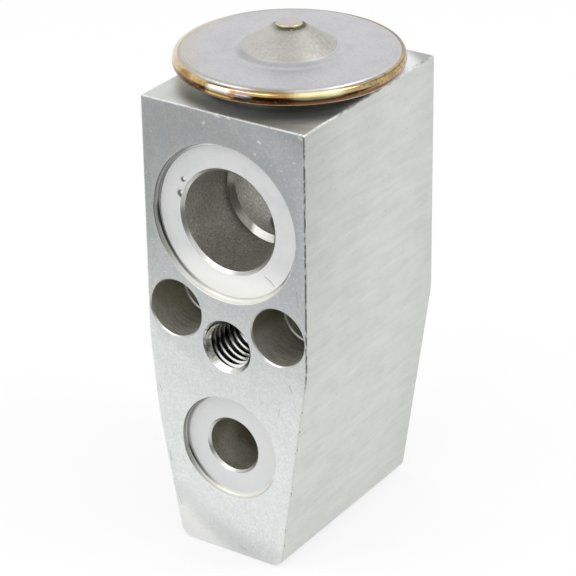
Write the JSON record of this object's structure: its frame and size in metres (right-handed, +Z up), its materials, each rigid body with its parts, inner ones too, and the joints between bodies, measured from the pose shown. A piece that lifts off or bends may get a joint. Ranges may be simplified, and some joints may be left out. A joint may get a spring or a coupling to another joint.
{
  "type": "thermostatic expansion valve",
  "caption": "Aluminium block valve with a welded power head on top; a sensing rod and push rod lift a sprung ball to meter refrigerant.",
  "frame": {"origin": "centre of the block's bottom face, below the power head's axis", "axes": "+Z up to the power head, +Y from the line side at the front to the evaporator side at the back, +X to the right seen from the front"},
  "size_m": [0.034, 0.035, 0.0803],
  "materials": {
    "block_aluminium": "satin, extruded and machined",
    "head_steel": "satin stainless sheet",
    "plug_steel": "welded stainless, slightly heat tinted",
    "weld_bead": "glossy weld bead with straw and brown heat tint",
    "diaphragm_steel": "thin rolled stainless",
    "neck_steel": "turned steel",
    "rod_aluminium": "turned",
    "ball_steel": "ground hard steel",
    "carrier_brass": "turned brass",
    "screw_brass": "turned brass",
    "spring_steel": "spring wire and strip",
    "seal_rubber": "matt rubber"
  },
  "bodies": {
    "root": {"valve_body": "block_aluminium", "upper_cover": "head_steel", "charge_plug": "plug_steel", "rim_weld": "weld_bead", "diaphragm": "diaphragm_steel", "lower_cover": "head_steel", "threaded_neck": "neck_steel", "head_seal": "seal_rubber", "rod_seal": "seal_rubber", "seal_washer": "neck_steel", "seal_retainer": "spring_steel"},
    "stem": {"stop_plate": "neck_steel", "sensing_rod": "rod_aluminium", "push_rod": "ball_steel", "valve_ball": "ball_steel", "ball_carrier": "carrier_brass", "damping_spring": "spring_steel"},
    "adjuster_carriage": {"superheat_spring": "spring_steel", "screw_seal": "seal_rubber"},
    "adjuster": {"adjusting_screw": "screw_brass"}
  },
  "joints": [
    {"name": "stem_lift", "type": "slide", "parent": "root", "child": "stem", "axis": [0, 0, -1], "range_m": [0, 0.0008], "stiffness_N_per_m": 20000, "springref_m": -0.003, "deforming": ["superheat_spring", "diaphragm"]},
    {"name": "adjuster_travel", "type": "slide", "parent": "root", "child": "adjuster_carriage", "axis": [0, 0, 1], "range_m": [-0.0006, 0.0006], "deforming": ["superheat_spring"]},
    {"name": "adjuster_turn", "type": "hinge", "parent": "adjuster_carriage", "child": "adjuster", "pos_m": [0, 0, 0.0045], "axis": [0, 0, 1], "range_deg": [-216, 216]}
  ],
  "couplings": [
    {"joint": "adjuster_turn", "follows": "adjuster_travel", "rad_per_m": 6283.2}
  ]
}
